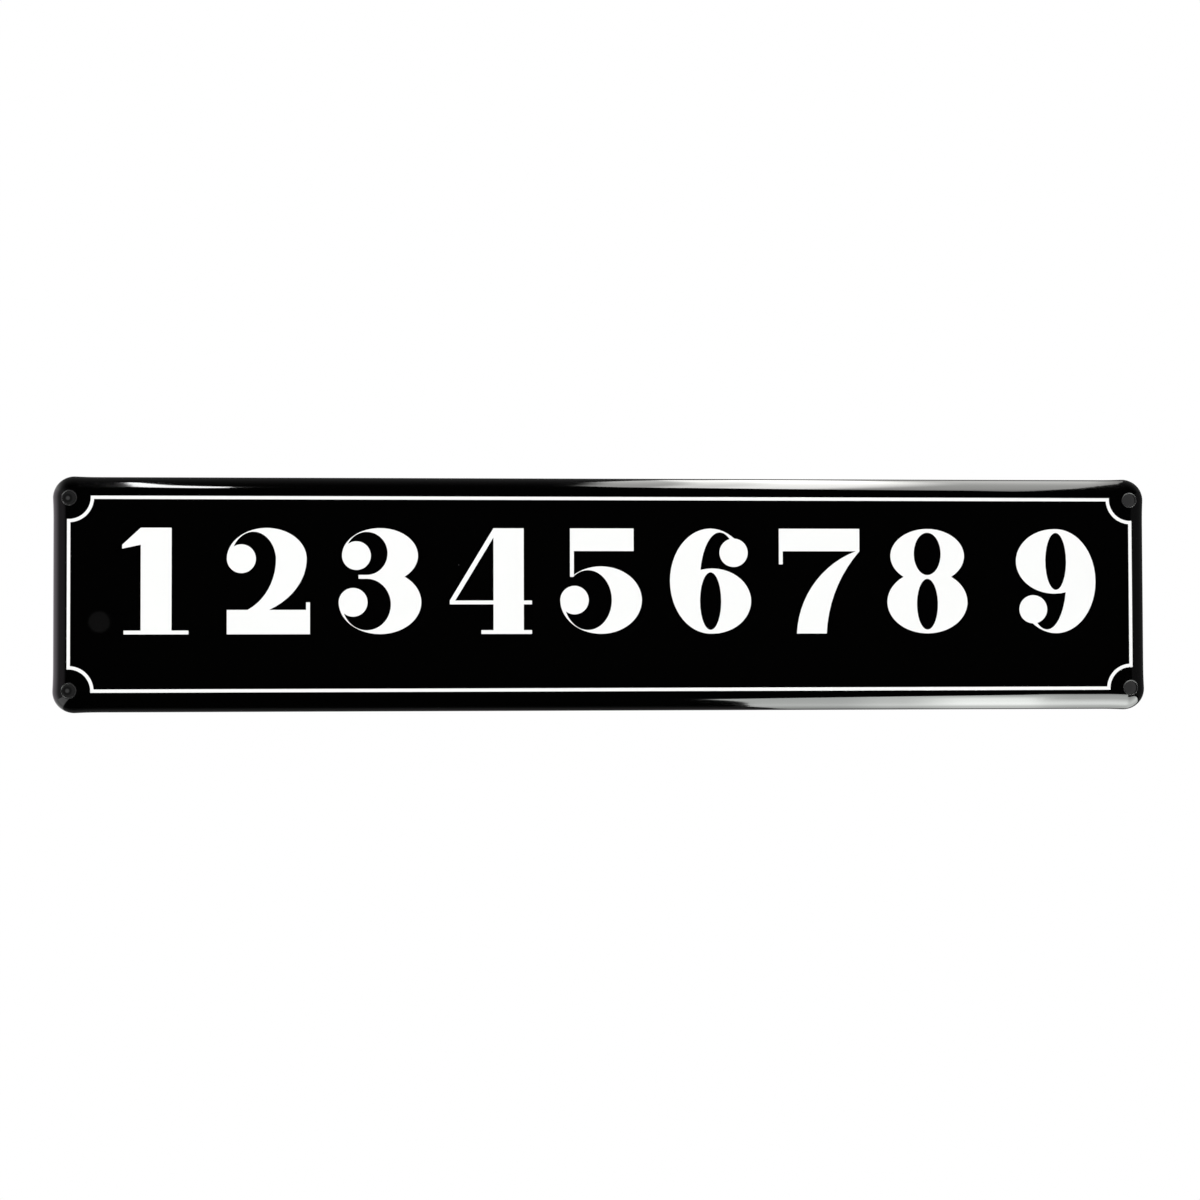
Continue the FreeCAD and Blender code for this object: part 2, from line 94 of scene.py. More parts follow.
class PressedPlateSizes(PropertyGroup):
    """Sizes of the pressed steel tray under its enamel."""

    half_length: length("Half length", "Middle to a short edge", PLATE_HIGH.x - CORNER_SWELL)
    half_height: length("Half height", "Middle to a long edge", PLATE_HIGH.z - CORNER_SWELL)
    depth: length("Depth", "Face to the back edge of the rim", PLATE_HIGH.y)
    wall: length("Wall", "Steel with enamel on both sides", 1.4 * MM)
    rim_radius: length("Rim radius", "Bend from the face into the rim", 6.0 * MM)
    corner_radius: length("Corner radius", "Corner seen from the front", 7.8 * MM)
    corner_swell: length("Corner swell", "How far the pressing swells out at a corner", CORNER_SWELL)
    gloss_swell: length("Gloss swell", "Swell that the gloss shows, evened by the enamel", 0.001 * MM)
    swell_radius: length("Swell radius", "Hollow sweep from an edge out to the corner", 150.0 * MM)
    back_round: length("Back edge round", "Rounding of the rim's back edge", 0.35 * MM)
    hole_x: length("Hole place along", "Fixing hole from the middle, along", FIXING["spacing_x_mm"] / 2 * MM)
    hole_z: length("Hole place up", "Fixing hole from the middle, upwards", FIXING["spacing_y_mm"] / 2 * MM)
    hole_radius: length("Hole radius", "Fixing hole inside its enamel", FIXING["hole_r_mm"] * MM)
    lip_width: length("Lip width", "Rounded enamel lip round a hole", 0.45 * MM)
    lip_depth: length("Lip depth", "Depth of the rounded lip", 0.45 * MM)


class FrameLineSizes(PropertyGroup):
    """Sizes of the white line that runs round the face."""

    half_length: length("Half length", "Middle to the line's middle, along", LINE_HIGH.x - LINE_WIDTH / 2)
    half_height: length("Half height", "Middle to the line's middle, upwards", LINE_HIGH.z - LINE_WIDTH / 2)
    width: length("Width", "Width of the line", LINE_WIDTH)
    hollow_radius: length("Hollow radius", "Middle of the hollow corner round a hole", 8.4 * MM)
    relief: length("Relief", "How far the white stands proud of the black", -LINE_LOW.y)
    seat: length("Seat", "How deep the line is fired into the black", 0.08 * MM)
    edge_round: length("Edge round", "Melted edge of the white enamel", 0.06 * MM)


class NumeralSizes(PropertyGroup):
    """Finish of the raised white numerals."""

    seat: length("Seat", "How deep a numeral is fired into the black", 0.08 * MM)
    edge_round: length("Edge round", "Melted edge of the white enamel", 0.05 * MM)
    shortest_edge: length("Shortest edge", "Outline points nearer than this are joined", 0.05 * MM)


class EnamelColours(PropertyGroup):
    """Colours and gloss of the two enamels."""

    black: tint("Black", "Glossy black enamel", 0.0005, 0.0005, 0.0005)
    ground: tint("Ground coat", "Dark coat in the hollow back", 0.016, 0.016, 0.017)
    white: tint("White", "Glossy white enamel", 0.955, 0.96, 0.95)
    # The lip colour is lighter than the black to paint the ring of light on the rounded lips.
    lip: tint("Lip", "Lighter enamel on the lips, a painted highlight", 0.009, 0.009, 0.009)
    print_mark: tint("Fingerprint", "Dull round mark on the black", 0.0046, 0.0046, 0.0046)
    dust: tint("Dust", "Pale dust on the black", 0.05, 0.05, 0.05)
    black_gloss: amount("Black roughness", "Roughness of the black enamel", 0.04)
    lip_gloss: amount("Lip roughness", "Roughness of the enamel on the lips", 0.5)
    white_gloss: amount("White roughness", "Roughness of the white enamel", 0.12)
    ground_gloss: amount("Ground roughness", "Roughness of the ground coat", 0.3)


class StudioSettings(PropertyGroup):
    """Camera, floor and light."""

    azimuth: turn("Azimuth", "Camera's turn round the sign", -4.62)
    elevation: turn("Elevation", "Camera's height angle", -1.79)
    roll: turn("Roll", "Camera's tilt about its own line of sight", -0.16)
    distance: length("Distance", "Camera to the middle of the sign", 1.0)
    lens: FloatProperty(name="Lens", description="Focal length in millimetres", default=82.39)
    shift_x: FloatProperty(name="Shift along", description="Sideways shift of the view", default=-0.0064)
    shift_y: FloatProperty(name="Shift up", description="Upward shift of the view", default=-0.0050)
    room_light: amount("Room light", "Level of the even light from all round", 0.955)
    floor_colour: tint("Floor", "Pale floor", 0.86, 0.86, 0.86)
    floor_level: length("Floor level", "Height of the floor", -1.05)
    floor_radius: length("Floor radius", "Middle of the floor to its edge", 1.6)
    lamp_size: length("Lamp size", "Across the soft lamp", 1.4)
    lamp_power: amount("Lamp power", "Power of the soft lamp in watts", 12.0)
    card_height: length("Card height", "Height of the bright cards, above and below", 1.0)
    cloth_gap: length("Cloth gap", "From a bright card to the dark cloth behind it", 0.02)


def go_edit(select_mode=None):
    bpy.ops.object.mode_set(mode="EDIT")
    if select_mode:
        bpy.ops.mesh.select_mode(type=select_mode)


def go_object():
    bpy.ops.object.mode_set(mode="OBJECT")


def start_fresh():
    """Leaves edit mode and drops the selection that a new primitive would join."""
    if bpy.context.object and bpy.context.object.mode != "OBJECT":
        go_object()
    bpy.ops.object.select_all(action="DESELECT")


def select_where(piece, kind, test):
    """Selects the edges or faces of the active piece that pass the test, and edits them."""
    go_object()
    mesh = piece.data
    for items in (mesh.vertices, mesh.edges, mesh.polygons):
        items.foreach_set("select", [False] * len(items))
    for item in mesh.edges if kind == "EDGE" else mesh.polygons:
        item.select = test(item)
    go_edit(kind)


def extrude(x=0.0, y=0.0, z=0.0):
    bpy.ops.mesh.extrude_region_move(TRANSFORM_OT_translate={"value": (x, y, z)})


def spin(steps, angle, x, z):
    """Sweeps the selected point about an upright-to-the-face axis. Positive turns from +X to +Z."""
    bpy.ops.mesh.spin(steps=steps, angle=angle, center=(x, 0, z), axis=(0, 1, 0))


def inset(thickness, depth=0.0):
    bpy.ops.mesh.inset(
        thickness=thickness, depth=depth, use_even_offset=True, use_relative_offset=False, use_boundary=True
    )


def apply_modifier(kind, **values):
    """Adds one modifier to the active piece, sets it and applies it."""
    piece = bpy.context.object
    modifier = piece.modifiers.new(kind.lower(), kind)
    for name, value in values.items():
        setattr(modifier, name, value)
    bpy.ops.object.modifier_apply(modifier=modifier.name)


def start_point(name, x):
    """A new piece that is one point on the X axis, ready to be drawn out as a chain."""
    start_fresh()
    bpy.ops.mesh.primitive_plane_add(size=MM, location=(0, 0, 0))
    piece = bpy.context.object
    piece.name = piece.data.name = name
    go_edit("VERT")
    bpy.ops.mesh.select_all(action="SELECT")
    bpy.ops.mesh.merge(type="CENTER")
    bpy.ops.transform.translate(value=(x, 0, 0))
    return piece


def mirror_quarter():
    """Mirrors the quarter chain that was drawn, so that it closes into a loop."""
    go_object()
    apply_modifier("MIRROR", use_axis=(True, False, True), merge_threshold=MIRROR_MERGE)


def quarter_round(width, height, rows, steep_first):
    """Steps of (inwards, up) along a quarter of an ellipse, from its steep or its flat end."""
    angles = [math.pi / 2 * row / rows for row in range(rows + 1)]
    for low, high in zip(angles, angles[1:]):
        short_share = math.cos(low) - math.cos(high)
        long_share = math.sin(high) - math.sin(low)
        if steep_first:
            yield width * short_share, height * long_share
        else:
            yield width * long_share, height * short_share


def keep_edges(piece, test):
    """Of the edges that are selected, keeps those whose middle passes the test."""
    go_object()
    selected = {edge.index for edge in piece.data.edges if edge.select}
    points = piece.data.vertices

    def wanted(edge):
        first, second = (points[index].co for index in edge.vertices)
        return edge.index in selected and test((first + second) / 2)

    select_where(piece, "EDGE", wanted)


def finish_piece(piece, node, smooth_degrees):
    """Shades the piece, points its faces outwards and puts it in its CAD node's place."""
    go_edit("VERT")
    bpy.ops.mesh.select_all(action="SELECT")
    bpy.ops.mesh.remove_doubles(threshold=POINT_MERGE)
    bpy.ops.mesh.normals_make_consistent(inside=False)
    go_object()
    bpy.ops.object.shade_smooth_by_angle(angle=math.radians(smooth_degrees))
    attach(piece, BODY)
    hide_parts(node)


RIM_ROWS = 14
INNER_ROWS = 12
EDGE_ROWS = 4
LIP_ROWS = 5
MELT_ROWS = 3
CORNER_STEPS = 22
SWEEP_STEPS = 4
HOLE_SIDES = 64
SUPPORT = 0.4 * MM
RIM_FACE_POINTS = 4
BACK_LIP_SHARE = 0.6
# Where on a lip the painted highlight starts and ends, as shares of the lip's width.
LIP_HIGHLIGHT_START, LIP_HIGHLIGHT_END = 0.03, 1.02
PLATE_SMOOTH_DEGREES = 50
WHITE_SMOOTH_DEGREES = 40
MELT_DEGREES = 60


def draw_plate_outline(sizes, swell):
    """The outline seen from the front: straight edges, hollow sweeps and swollen corners."""
    reach = sizes.corner_radius + sizes.swell_radius
    tilt = math.acos(1 - swell / reach)
    run = reach * math.sin(tilt)
    x = sizes.half_length + swell - sizes.corner_radius
    z = sizes.half_height + swell - sizes.corner_radius
    piece = start_point("pressed_plate", sizes.half_length)
    extrude(z=z - run)
    spin(SWEEP_STEPS, -tilt, sizes.half_length + sizes.swell_radius, z - run)
    spin(CORNER_STEPS, math.pi / 2 + 2 * tilt, x, z)
    spin(SWEEP_STEPS, -tilt, x - run, sizes.half_height + sizes.swell_radius)
    extrude(x=run - x)
    mirror_quarter()
    return piece


def press_tray(piece, sizes):
    """Draws the filled outline into a tray: rim and face outside, then the hollow behind."""
    straight = sizes.depth - sizes.back_round - sizes.rim_radius
    go_edit("VERT")
    bpy.ops.mesh.select_all(action="SELECT")
    bpy.ops.mesh.edge_face_add()
    go_object()
    backwards = piece.data.polygons[0].normal.y > 0
    go_edit("FACE")
    if backwards:
        bpy.ops.mesh.flip_normals()
    bpy.ops.transform.translate(value=(0, sizes.depth - sizes.back_round, 0))
    extrude(y=-straight)
    for inwards, up in quarter_round(sizes.rim_radius, sizes.rim_radius, RIM_ROWS, True):
        inset(inwards, up)
    inset(SUPPORT)

    back_level = sizes.depth - 2 * sizes.back_round

    def is_back(face):
        return len(face.vertices) > RIM_FACE_POINTS and face.center.y > back_level

    select_where(piece, "FACE", is_back)
    for inwards, up in quarter_round(sizes.back_round, sizes.back_round, EDGE_ROWS, True):
        inset(inwards, up)
    inset(sizes.wall - 2 * sizes.back_round)
    for inwards, down in quarter_round(sizes.back_round, sizes.back_round, EDGE_ROWS, False):
        inset(inwards, -down)
    extrude(y=-straight)
    inner_radius = sizes.rim_radius - sizes.wall
    for inwards, down in quarter_round(inner_radius, inner_radius, INNER_ROWS, True):
        inset(inwards, -down)
    inset(SUPPORT)


def hole_centres(sizes):
    """The middles of the four fixing holes at the level of the face."""
    return [Vector((x * sizes.hole_x, 0, z * sizes.hole_z)) for x, z in ((1, 1), (-1, 1), (-1, -1), (1, -1))]


def from_hole(point, sizes):
    """Distance of a point from the axis of the nearest fixing hole."""
    return math.hypot(abs(point.x) - sizes.hole_x, abs(point.z) - sizes.hole_z)


def imprint_rings(piece, sizes, radii):
    """Cuts circles round each hole into both skins, then opens the innermost one."""
    go_object()
    tray_points = len(piece.data.vertices)
    go_edit("FACE")
    bpy.ops.mesh.select_all(action="DESELECT")
    for centre in hole_centres(sizes):
        for radius in radii:
            bpy.ops.mesh.primitive_cylinder_add(
                vertices=HOLE_SIDES, radius=radius, depth=3 * sizes.wall, end_fill_type="NOTHING",
                location=centre + Vector((0, sizes.wall, 0)), rotation=(math.pi / 2, 0, 0),
            )
    select_where(piece, "FACE", lambda face: min(face.vertices) >= tray_points)
    bpy.ops.mesh.intersect(mode="SELECT_UNSELECT", separate_mode="NONE", solver="EXACT")

    slack = 0.012 * MM
    upright = 0.02
    smallest, largest = min(radii), max(radii)
    points = piece.data.vertices

    def cutter_or_disc(face):
        reach = [from_hole(points[index].co, sizes) for index in face.vertices]
        if max(reach) < smallest + slack:
            return True
        cylinder = max(reach) - min(reach) < slack and max(reach) < largest + slack
        return cylinder and abs(face.normal.y) < upright

    select_where(piece, "FACE", cutter_or_disc)
    bpy.ops.mesh.delete(type="FACE")


def select_open_loops(piece, test):
    """Selects the open edges whose middle passes the test."""
    go_edit("EDGE")
    bpy.ops.mesh.select_all(action="DESELECT")
    bpy.ops.mesh.select_non_manifold(
        extend=False, use_wire=False, use_boundary=True, use_multi_face=False,
        use_non_contiguous=False, use_verts=False,
    )
    keep_edges(piece, test)


def roll_lip(piece, sizes, centre, front):
    """Rolls one open loop over into the hole in rounded steps, from the front or the back."""
    unrolled = sizes.hole_radius + sizes.lip_width / 2
    near = 2 * sizes.hole_radius
    between_skins = 0.8 * sizes.wall

    def on_this_lip(middle):
        aside = math.hypot(middle.x - centre.x, middle.z - centre.z)
        return unrolled < aside < near and (middle.y < between_skins) == front

    select_open_loops(piece, on_this_lip)
    radius = sizes.hole_radius + sizes.lip_width
    depth = sizes.lip_depth if front else -BACK_LIP_SHARE * sizes.lip_depth
    for inwards, along in quarter_round(sizes.lip_width, depth, LIP_ROWS, False):
        extrude(y=along)
        shrink = (radius - inwards) / radius
        bpy.ops.transform.resize(value=(shrink, 1, shrink), center_override=centre)
        radius -= inwards


def open_holes(piece, sizes):
    """Four punched holes whose enamel is rolled over at both ends."""
    lip_radius = sizes.hole_radius + sizes.lip_width
    imprint_rings(piece, sizes, (lip_radius + SUPPORT, lip_radius))
    for centre in hole_centres(sizes):
        roll_lip(piece, sizes, centre, True)
        roll_lip(piece, sizes, centre, False)
    for centre in hole_centres(sizes):
        select_open_loops(piece, lambda middle: (middle - centre).xz.length < 2 * sizes.hole_radius)
        bpy.ops.mesh.bridge_edge_loops()


def copy_piece(piece):
    """A copy of a piece with a mesh of its own."""
    go_object()
    copy = bpy.data.objects.new("plain_tray", piece.data.copy())
    bpy.context.collection.objects.link(copy)
    return copy


def take_normals(piece, source, mapping, group):
    """Takes the normals of another tray for a group of points. That tray is then removed."""
    start_fresh()
    piece.select_set(True)
    bpy.context.view_layer.objects.active = piece
    apply_modifier(
        "DATA_TRANSFER", object=source, use_loop_data=True, data_types_loops={"CUSTOM_NORMAL"},
        loop_mapping=mapping, vertex_group=group,
    )
    bpy.data.objects.remove(source)


def group_points(piece, name, test):
    """Names a group of the piece's points whose places pass the test."""
    group = piece.vertex_groups.new(name=name)
    group.add([point.index for point in piece.data.vertices if test(point.co)], 1.0, "REPLACE")
    return group.name


def even_gloss(piece, plain_tray, sizes):
    """Lets the gloss run on round the corners and holes, as fired enamel does.

    The tray without holes takes the normals of one with hardly any swell, point by point in
    front of its walls, and hands its own on to the piece everywhere outside the lips.
    """
    calm_tray = draw_plate_outline(sizes, sizes.gloss_swell)
    press_tray(calm_tray, sizes)
    go_object()
    bpy.ops.object.shade_smooth()
    wall_margin = 0.05 * MM
    lip_margin = 0.01 * MM
    wall_start = sizes.rim_radius - wall_margin
    rounded = group_points(plain_tray, "in front of the walls", lambda point: point.y < wall_start)
    take_normals(plain_tray, calm_tray, "TOPOLOGY", rounded)
    lip = sizes.hole_radius + sizes.lip_width - lip_margin
    outside = group_points(piece, "outside the lips", lambda point: from_hole(point, sizes) > lip)
    take_normals(piece, plain_tray, "POLYINTERP_NEAREST", outside)
    piece.vertex_groups.clear()


def coat(piece, material, test):
    """Gives the faces that pass the test another enamel."""
    go_object()
    piece.data.materials.append(material)
    slot = len(piece.data.materials) - 1
    for face in piece.data.polygons:
        if test(face):
            face.material_index = slot


def coat_back(piece, sizes, material):
    """Gives the hollow back its own coat, up to the back edge of the rim."""
    inner_x = sizes.half_length - sizes.wall / 2
    inner_z = sizes.half_height - sizes.wall / 2
    slight_turn = 0.02

    def in_hollow(face):
        inside = abs(face.center.x) < inner_x and abs(face.center.z) < inner_z
        looks_back = face.normal.y > slight_turn or face.center.y > sizes.rim_radius
        return inside and looks_back

    coat(piece, material, in_hollow)


def paint_lip_highlight(piece, sizes, material):
    """Gives the front-facing part of each rolled lip the lighter lip enamel, a painted highlight for the ring
    of light that a rounded lip catches.
    """
    inner = sizes.hole_radius + LIP_HIGHLIGHT_START * sizes.lip_width
    outer = sizes.hole_radius + LIP_HIGHLIGHT_END * sizes.lip_width
    slight_turn = 0.05
    points = piece.data.vertices

    def on_lip(face):
        reach = [from_hole(points[index].co, sizes) for index in face.vertices]
        return inner < min(reach) and max(reach) < outer and face.normal.y < -slight_turn

    coat(piece, material, on_lip)


def draw_line_loop(name, sizes, side):
    """One edge of the white line: half its width outside (1) or inside (-1) of its middle."""
    reach = side * sizes.width / 2
    radius = sizes.hollow_radius - reach
    step = math.sqrt(radius**2 - reach**2)
    tilt = math.asin(reach / radius)
    x, z = sizes.half_length, sizes.half_height
    piece = start_point(name, x + reach)
    extrude(z=z - step)
    spin(CORNER_STEPS, -(math.pi / 2 + 2 * tilt), x, z)
    extrude(x=step - x)
    mirror_quarter()
    return piece


def melt_front_edges(piece, width):
    """Rounds the sharp edges in front of the black, as white enamel melts in the kiln."""
    go_edit("EDGE")
    bpy.ops.mesh.select_all(action="DESELECT")
    bpy.ops.mesh.edges_select_sharp(sharpness=math.radians(MELT_DEGREES))
    keep_edges(piece, lambda middle: middle.y < -2 * width)
    bpy.ops.mesh.bevel(offset=width, segments=MELT_ROWS, affect="EDGES", clamp_overlap=True)


def flatten_fronts():
    """Lets the large faces of the active piece set the normals, so that its fronts mirror as flat."""
    apply_modifier("WEIGHTED_NORMAL", weight=100, keep_sharp=True)


class SIGN_OT_press_plate(Operator):
    """Press the tray, punch its fixing holes and coat it in black enamel"""

    bl_idname = "street_sign.press_plate"
    bl_label = "Press Plate"
    bl_options = {"REGISTER", "UNDO"}

    def execute(self, context):
        sizes = context.scene.sign_plate
        colours = context.scene.sign_enamel
        piece = draw_plate_outline(sizes, sizes.corner_swell)
        press_tray(piece, sizes)
        plain_tray = copy_piece(piece)
        open_holes(piece, sizes)
        go_object()
        piece.data.materials.append(black_enamel(colours))
        finish_piece(piece, PLATE_NODE, PLATE_SMOOTH_DEGREES)
        even_gloss(piece, plain_tray, sizes)
        coat_back(piece, sizes, ground_coat(colours))
        # Painted highlight: the lips get a lighter enamel for the ring of light they catch.
        paint_lip_highlight(piece, sizes, lip_highlight_enamel(colours))
        return {"FINISHED"}


class SIGN_OT_lay_frame_line(Operator):
    """Lay the white frame line with its hollow corners"""

    bl_idname = "street_sign.lay_frame_line"
    bl_label = "Lay Frame Line"
    bl_options = {"REGISTER", "UNDO"}

    def execute(self, context):
        sizes = context.scene.sign_line
        outer = draw_line_loop("white_frame_line", sizes, 1)
        inner = draw_line_loop("inner_edge", sizes, -1)
        outer.select_set(True)
        inner.select_set(True)
        context.view_layer.objects.active = outer
        bpy.ops.object.join()
        go_edit("EDGE")
        bpy.ops.mesh.select_all(action="SELECT")
        bpy.ops.mesh.bridge_edge_loops()
        bpy.ops.mesh.select_all(action="SELECT")
        bpy.ops.transform.translate(value=(0, sizes.seat, 0))
        extrude(y=-(sizes.relief + sizes.seat))
        bpy.ops.mesh.select_all(action="SELECT")
        bpy.ops.mesh.normals_make_consistent(inside=False)
        melt_front_edges(outer, sizes.edge_round)
        go_object()
        outer.data.materials.append(white_enamel(context.scene.sign_enamel))
        finish_piece(outer, LINE_NODE, WHITE_SMOOTH_DEGREES)
        flatten_fronts()
        return {"FINISHED"}


class SIGN_OT_raise_numerals(Operator):
    """Round the edges and the curved strokes of the white numerals"""

    bl_idname = "street_sign.raise_numerals"
    bl_label = "Raise Numerals"
    bl_options = {"REGISTER", "UNDO"}

    def execute(self, context):
        sizes = context.scene.sign_numerals
        straight_degrees = 1
        back_turn = 0.9
        start_fresh()
        piece = bpy.data.objects.new("white_numerals", frame["nodes"][NUMERAL_NODE].data.copy())
        context.collection.objects.link(piece)
        context.view_layer.objects.active = piece
        piece.select_set(True)
        go_edit("VERT")
        bpy.ops.mesh.select_all(action="SELECT")
        bpy.ops.mesh.remove_doubles(threshold=sizes.shortest_edge)
        bpy.ops.mesh.dissolve_limited(angle_limit=math.radians(straight_degrees))
        melt_front_edges(piece, sizes.edge_round)
        select_where(piece, "FACE", lambda face: face.normal.y > back_turn)
        bpy.ops.transform.translate(value=(0, sizes.seat, 0))
        go_object()
        piece.data.materials.clear()
        piece.data.materials.append(white_enamel(context.scene.sign_enamel))
        finish_piece(piece, NUMERAL_NODE, WHITE_SMOOTH_DEGREES)
        flatten_fronts()
        return {"FINISHED"}


def new_group(name, numbers, output):
    """An empty shader node group with named number inputs, their defaults and one number output."""
    group = bpy.data.node_groups.new(name, "ShaderNodeTree")
    for label, default in numbers.items():
        socket = group.interface.new_socket(label, in_out="INPUT", socket_type="NodeSocketFloat")
        socket.default_value = default
    group.interface.new_socket(output, in_out="OUTPUT", socket_type="NodeSocketFloat")
    return group, group.nodes.new("NodeGroupInput"), group.nodes.new("NodeGroupOutput")


def add_node(tree, kind, place, **values):
    """A node at a place in its tree, with its properties set by name."""
    node = tree.nodes.new(kind)
    node.location = place
    for name, value in values.items():
        setattr(node, name, value)
    return node


def work_out(tree, place, operation, *values):
    """A math node's result. Each value is a number or the output of another node."""
    node = add_node(tree, "ShaderNodeMath", place, operation=operation)
    for socket, value in zip(node.inputs, values):
        if isinstance(value, float):
            socket.default_value = value
        else:
            tree.links.new(value, socket)
    return node.outputs["Value"]


def fade(tree, place, source, start, end, low, high):
    """A smooth change along a coordinate: low up to the start, high from the end on."""
    step = add_node(tree, "ShaderNodeMapRange", place, interpolation_type="SMOOTHSTEP")
    step.inputs["From Min"].default_value = start
    step.inputs["From Max"].default_value = end
    step.inputs["To Min"].default_value = low
    step.inputs["To Max"].default_value = high
    tree.links.new(source, step.inputs["Value"])
    return step.outputs["Result"]


def combine(tree, place, operation, first, second):
    """Adds or multiplies two values. A missing first value leaves the second as it is."""
    if first is None:
        return second
    return work_out(tree, place, operation, first, second)


def enamel_ripple():
    """Group: the fine waviness of fired enamel as a height."""
    name = "enamel ripple"
    if name in bpy.data.node_groups:
        return bpy.data.node_groups[name]
    numbers = {"Fine scale": 900.0, "Broad scale": 160.0, "Broad share": 0.6}
    group, entry, leave = new_group(name, numbers, "Height")
    place = add_node(group, "ShaderNodeTexCoord", (-700, 0))
    fine = add_node(group, "ShaderNodeTexNoise", (-450, 150))
    fine.inputs["Detail"].default_value = 1.0
    broad = add_node(group, "ShaderNodeTexNoise", (-450, -150))
    broad.inputs["Detail"].default_value = 2.0
    mix = add_node(group, "ShaderNodeMix", (-150, 0), data_type="FLOAT")
    join = group.links.new
    join(place.outputs["Object"], fine.inputs["Vector"])
    join(place.outputs["Object"], broad.inputs["Vector"])
    join(entry.outputs["Fine scale"], fine.inputs["Scale"])
    join(entry.outputs["Broad scale"], broad.inputs["Scale"])
    join(entry.outputs["Broad share"], mix.inputs["Factor"])
    join(fine.outputs["Fac"], mix.inputs["A"])
    join(broad.outputs["Fac"], mix.inputs["B"])
    join(mix.outputs["Result"], leave.inputs["Height"])
    return group


def dust_specks():
    """Group: a few tiny round specks as a mask."""
    name = "dust specks"
    if name in bpy.data.node_groups:
        return bpy.data.node_groups[name]
    group, entry, leave = new_group(name, {"Scale": 60.0, "Size": 0.02, "Share": 0.2}, "Mask")
    place = add_node(group, "ShaderNodeTexCoord", (-900, 0))
    cells = add_node(group, "ShaderNodeTexVoronoi", (-650, 100))
    split = add_node(group, "ShaderNodeSeparateColor", (-500, -80))
    join = group.links.new
    join(place.outputs["Object"], cells.inputs["Vector"])
    join(entry.outputs["Scale"], cells.inputs["Scale"])
    join(cells.outputs["Color"], split.inputs["Color"])
    near = work_out(group, (-350, 150), "LESS_THAN", cells.outputs["Distance"], entry.outputs["Size"])
    chosen = work_out(group, (-350, -80), "LESS_THAN", split.outputs["Red"], entry.outputs["Share"])
    join(work_out(group, (-120, 0), "MULTIPLY", near, chosen), leave.inputs["Mask"])
    return group


GLASS_IOR = 1.5
GLOSS_SPREAD = 0.2
FINE_RIPPLE = 0.002 * MM
LIP_RIPPLE = 0.004 * MM
GROUND_RIPPLE = 0.01 * MM
BLACK_SPECKS = {"Scale": 90.0, "Size": 0.02, "Share": 0.2}
COAT_SPECKS = {"Scale": 160.0, "Size": 0.05, "Share": 0.3}
WHITE_SPECKS = {"Scale": 120.0, "Size": 0.01, "Share": 0.03}


def enamel_material(name, colour, dust_colour, roughness, ripple_height, specks):
    """A glassy enamel: its colour with a few specks, and a rippled, slightly uneven gloss."""
    material = bpy.data.materials.new(name)
    material.use_nodes = True
    tree = material.node_tree
    shader = tree.nodes["Principled BSDF"]
    shader.inputs["IOR"].default_value = GLASS_IOR
    ripple = add_node(tree, "ShaderNodeGroup", (-900, -300), node_tree=enamel_ripple())
    bump = add_node(tree, "ShaderNodeBump", (-300, -300))
    bump.inputs["Distance"].default_value = ripple_height
    dust = add_node(tree, "ShaderNodeGroup", (-900, 200), node_tree=dust_specks())
    for label, value in specks.items():
        dust.inputs[label].default_value = value
    mix = add_node(tree, "ShaderNodeMix", (-500, 250), data_type="RGBA")
    mix.inputs["A"].default_value = (*colour, 1)
    mix.inputs["B"].default_value = (*dust_colour, 1)
    gloss = add_node(tree, "ShaderNodeMapRange", (-500, -50))
    gloss.inputs["To Min"].default_value = roughness * (1 - GLOSS_SPREAD)
    gloss.inputs["To Max"].default_value = roughness * (1 + GLOSS_SPREAD)
    join = tree.links.new
    join(ripple.outputs["Height"], bump.inputs["Height"])
    join(ripple.outputs["Height"], gloss.inputs["Value"])
    join(gloss.outputs["Result"], shader.inputs["Roughness"])
    join(bump.outputs["Normal"], shader.inputs["Normal"])
    join(dust.outputs["Mask"], mix.inputs["Factor"])
    join(mix.outputs["Result"], shader.inputs["Base Color"])
    return material


def dull_print():
    """Group: a soft round fingerprint at one place on the face, as a mask."""
    group, entry, leave = new_group("dull print", {"Radius": 4.4 * MM, "Soft edge": 1.2 * MM}, "Mask")
    place = add_node(group, "ShaderNodeTexCoord", (-700, 0))
    aside = add_node(group, "ShaderNodeVectorMath", (-500, 0), operation="DISTANCE")
    aside.inputs[1].default_value = PRINT_PLACE
    group.links.new(place.outputs["Object"], aside.inputs[0])
    past = work_out(group, (-300, 0), "SUBTRACT", aside.outputs["Value"], entry.outputs["Radius"])
    share = work_out(group, (-120, 0), "DIVIDE", past, entry.outputs["Soft edge"])
    mask = fade(group, (60, 0), share, -1.0, 0.0, 1.0, 0.0)
    group.links.new(mask, leave.inputs["Mask"])
    return group


def black_enamel(colours):
    """The black of the face and rim, with one dull fingerprint left of the row."""
    material = enamel_material(
        "glossy black enamel", colours.black, colours.dust, colours.black_gloss, FINE_RIPPLE, BLACK_SPECKS
    )
    tree = material.node_tree
    base = tree.nodes["Principled BSDF"].inputs["Base Color"]
    mark = add_node(tree, "ShaderNodeGroup", (-500, 500), node_tree=dull_print())
    mix = add_node(tree, "ShaderNodeMix", (-250, 400), data_type="RGBA")
    mix.inputs["B"].default_value = (*colours.print_mark, 1)
    tree.links.new(mark.outputs["Mask"], mix.inputs["Factor"])
    tree.links.new(base.links[0].from_socket, mix.inputs["A"])
    tree.links.new(mix.outputs["Result"], base)
    return material


def lip_highlight_enamel(colours):
    """The duller enamel on the lips of the holes, lighter than the black: a painted highlight for the ring of
    light that the rounded lips catch.
    """
    return enamel_material(
        "lip enamel with painted highlight", colours.lip, colours.dust, colours.lip_gloss, LIP_RIPPLE, COAT_SPECKS
    )


def ground_coat(colours):
    """The dark coat in the hollow back."""
    return enamel_material(
        "dark ground coat", colours.ground, colours.dust, colours.ground_gloss, GROUND_RIPPLE, COAT_SPECKS
    )


